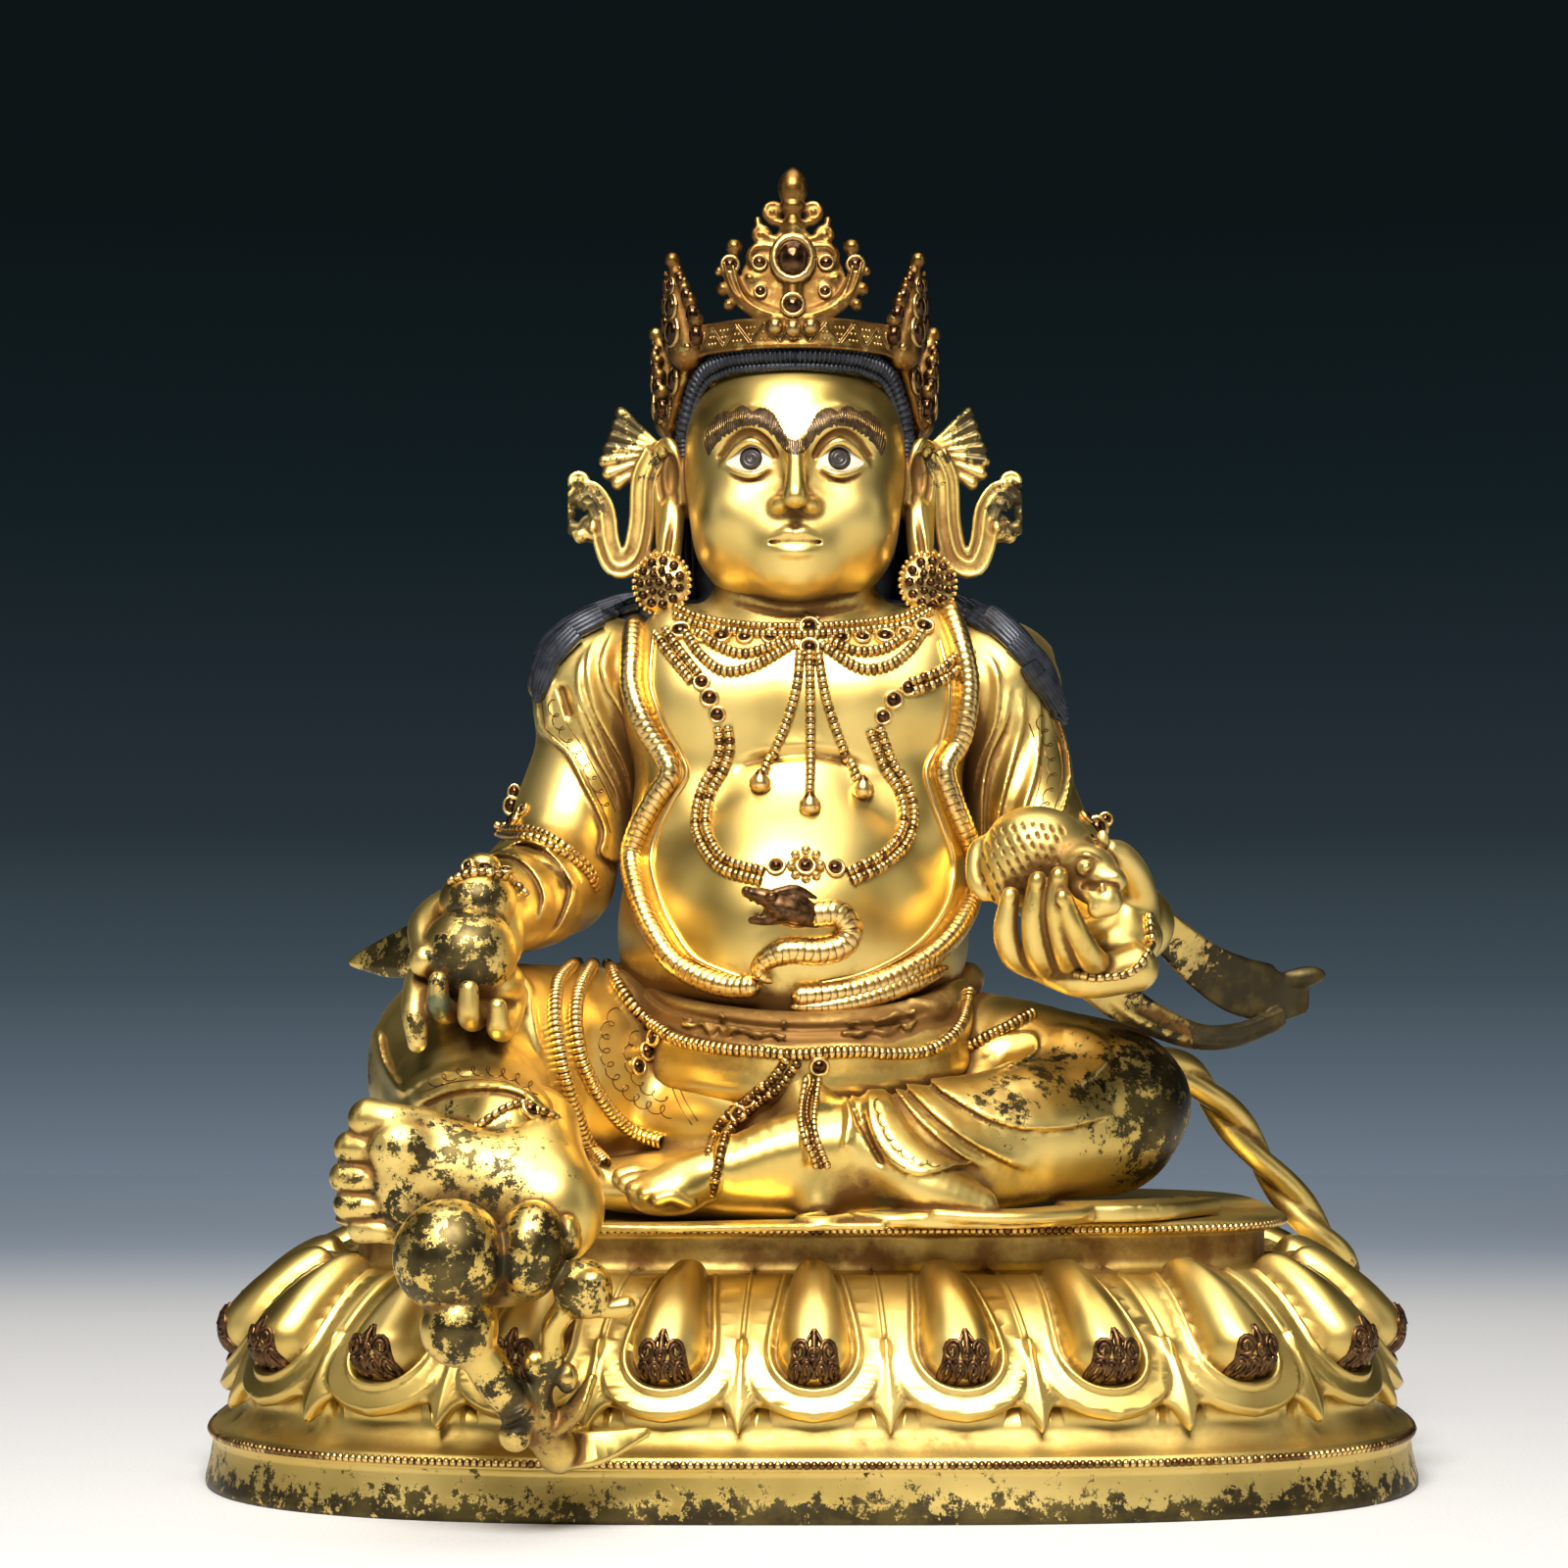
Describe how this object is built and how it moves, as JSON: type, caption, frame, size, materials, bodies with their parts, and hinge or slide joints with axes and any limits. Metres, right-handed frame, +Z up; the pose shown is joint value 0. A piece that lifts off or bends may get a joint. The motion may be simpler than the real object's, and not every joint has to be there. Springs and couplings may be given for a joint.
{
  "type": "god of wealth statue",
  "caption": "Gilt bronze seated god of wealth with a leafed crown, a jewelled fruit and a mongoose, on an oval lotus base with a small footrest.",
  "frame": {"origin": "middle of the base's underside, on the surface that it stands on", "axes": "+Z up, -Y towards the viewer the figure faces, +X to the viewer's right"},
  "size_m": [0.2968, 0.2336, 0.3211],
  "materials": {
    "base_gilding": "fire-gilt bronze, satin to bright, rubbed through to dark bronze along the plinth",
    "figure_gilding": "fire-gilt bronze, bright on the body, with brown patina in the folds and dark wear on knee, foot and fruit",
    "crown_gilding": "gilt bronze under a brown lacquer-like patina, bright only on the highest points",
    "worn_bronze": "dark olive bronze with patches of the old gilding",
    "hair_paint": "matt blue-black pigment over cast and chased hair",
    "eye_paint": "old white pigment with a dark ringed iris"
  },
  "bodies": {
    "root": {"lotus_base": "base_gilding", "figure": "figure_gilding", "crown": "crown_gilding", "conch_footrest": "worn_bronze"}
  },
  "joints": []
}
